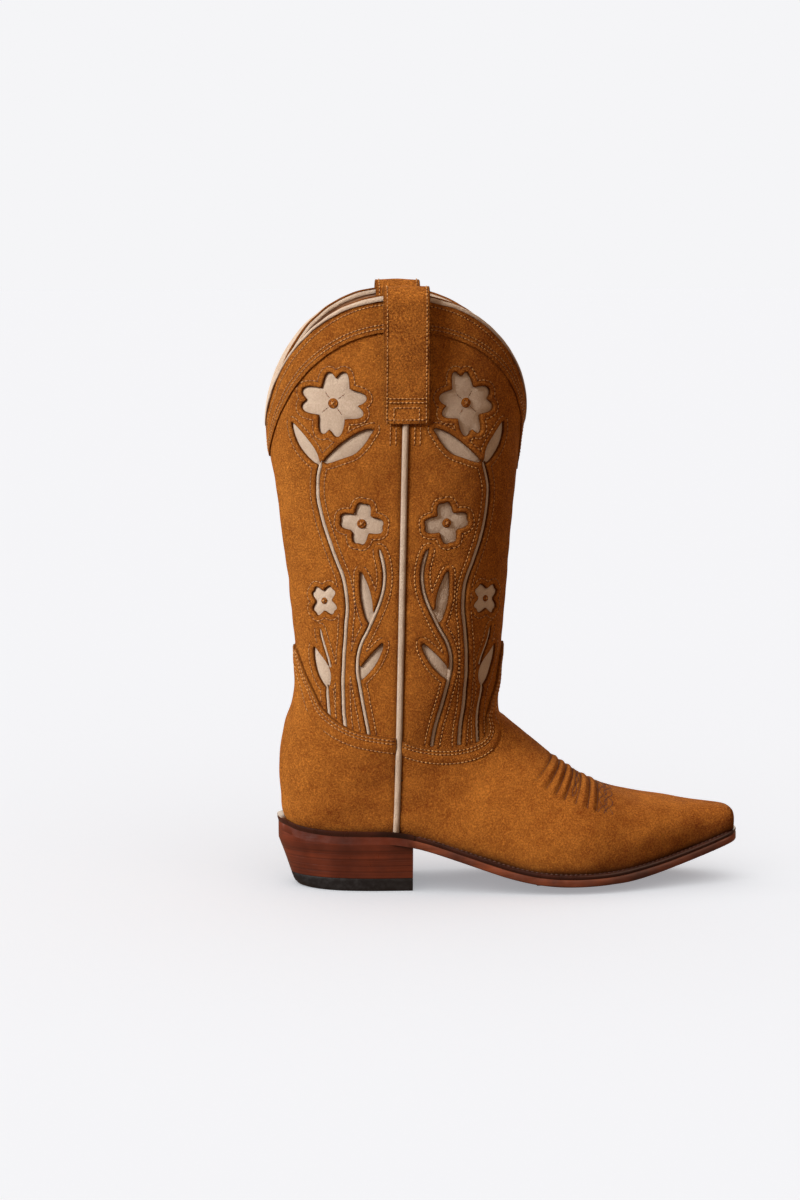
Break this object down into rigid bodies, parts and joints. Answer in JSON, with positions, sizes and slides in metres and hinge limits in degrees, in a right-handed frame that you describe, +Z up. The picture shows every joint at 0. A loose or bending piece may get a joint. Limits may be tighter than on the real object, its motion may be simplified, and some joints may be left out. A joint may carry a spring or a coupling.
{
  "type": "cowboy boot",
  "caption": "Pull-on western boot with a snipped toe, underslung stacked heel, scalloped mouth, two pull straps and cut-out suede flowers on the shaft.",
  "frame": {"origin": "centre of the heel cap's ground face, on the floor", "axes": "+X to the toe, +Y to the inner side of the right foot, +Z up"},
  "size_m": [0.2946, 0.1178, 0.3739],
  "materials": {
    "tan_suede": "brushed suede, matt",
    "cream_suede": "brushed suede, matt",
    "lining_leather": "smooth, matt",
    "insole_leather": "vegetable tanned, matt",
    "sole_leather": "burnished edge, half gloss",
    "welt_leather": "dyed, half gloss",
    "stacked_leather": "stacked and polished",
    "black_rubber": "matt",
    "spring_steel": "plain",
    "nail_brass": "plain",
    "peg_wood": "plain",
    "cork": "granulated",
    "stiff_board": "bonded leather board"
  },
  "bodies": {
    "boot": {"outsole": "sole_leather", "welt": "welt_leather", "heel_rand": "welt_leather", "insole": "insole_leather", "sock_lining": "lining_leather", "shank": "spring_steel", "bottom_filler": "cork", "shank_peg_outer_1": "peg_wood", "shank_peg_outer_2": "peg_wood", "shank_peg_outer_3": "peg_wood", "shank_peg_outer_4": "peg_wood", "shank_peg_inner_1": "peg_wood", "shank_peg_inner_2": "peg_wood", "shank_peg_inner_3": "peg_wood", "shank_peg_inner_4": "peg_wood", "heel_lift_1": "stacked_leather", "heel_lift_2": "stacked_leather", "heel_lift_3": "stacked_leather", "heel_lift_4": "stacked_leather", "heel_lift_5": "stacked_leather", "heel_cap": "black_rubber", "heel_nail_1": "nail_brass", "heel_nail_2": "nail_brass", "heel_nail_3": "nail_brass", "heel_nail_4": "nail_brass", "vamp": "tan_suede", "counter_cover": "tan_suede", "toe_puff": "stiff_board", "heel_counter": "stiff_board", "vamp_lining": "lining_leather", "shaft_lining_front": "lining_leather", "shaft_lining_back": "lining_leather", "shaft_front": "tan_suede", "shaft_back": "tan_suede", "collar_front": "tan_suede", "collar_back": "tan_suede", "top_binding_front": "cream_suede", "top_binding_back": "cream_suede", "side_piping_outer": "cream_suede", "side_piping_inner": "cream_suede", "inlay_front_outer": "cream_suede", "inlay_back_outer": "cream_suede", "inlay_front_inner": "cream_suede", "inlay_back_inner": "cream_suede", "flower_centre_large_front_outer": "tan_suede", "flower_centre_middle_front_outer": "tan_suede", "flower_centre_small_front_outer": "tan_suede", "flower_centre_large_back_outer": "tan_suede", "flower_centre_middle_back_outer": "tan_suede", "flower_centre_small_back_outer": "tan_suede", "flower_centre_large_front_inner": "tan_suede", "flower_centre_middle_front_inner": "tan_suede", "flower_centre_small_front_inner": "tan_suede", "flower_centre_large_back_inner": "tan_suede", "flower_centre_middle_back_inner": "tan_suede", "flower_centre_small_back_inner": "tan_suede"},
    "outer_pull_strap": {"pull_strap_outer": "tan_suede"},
    "inner_pull_strap": {"pull_strap_inner": "tan_suede"}
  },
  "joints": [
    {"name": "outer_strap_sway", "type": "hinge", "parent": "boot", "child": "outer_pull_strap", "pos_m": [0.0292, -0.053, 0.295], "axis": [1, 0, 0], "range_deg": [-2, 2], "stiffness_Nm_per_rad": 0.05},
    {"name": "inner_strap_sway", "type": "hinge", "parent": "boot", "child": "inner_pull_strap", "pos_m": [0.0292, 0.053, 0.295], "axis": [1, 0, 0], "range_deg": [-2, 2], "stiffness_Nm_per_rad": 0.05}
  ]
}
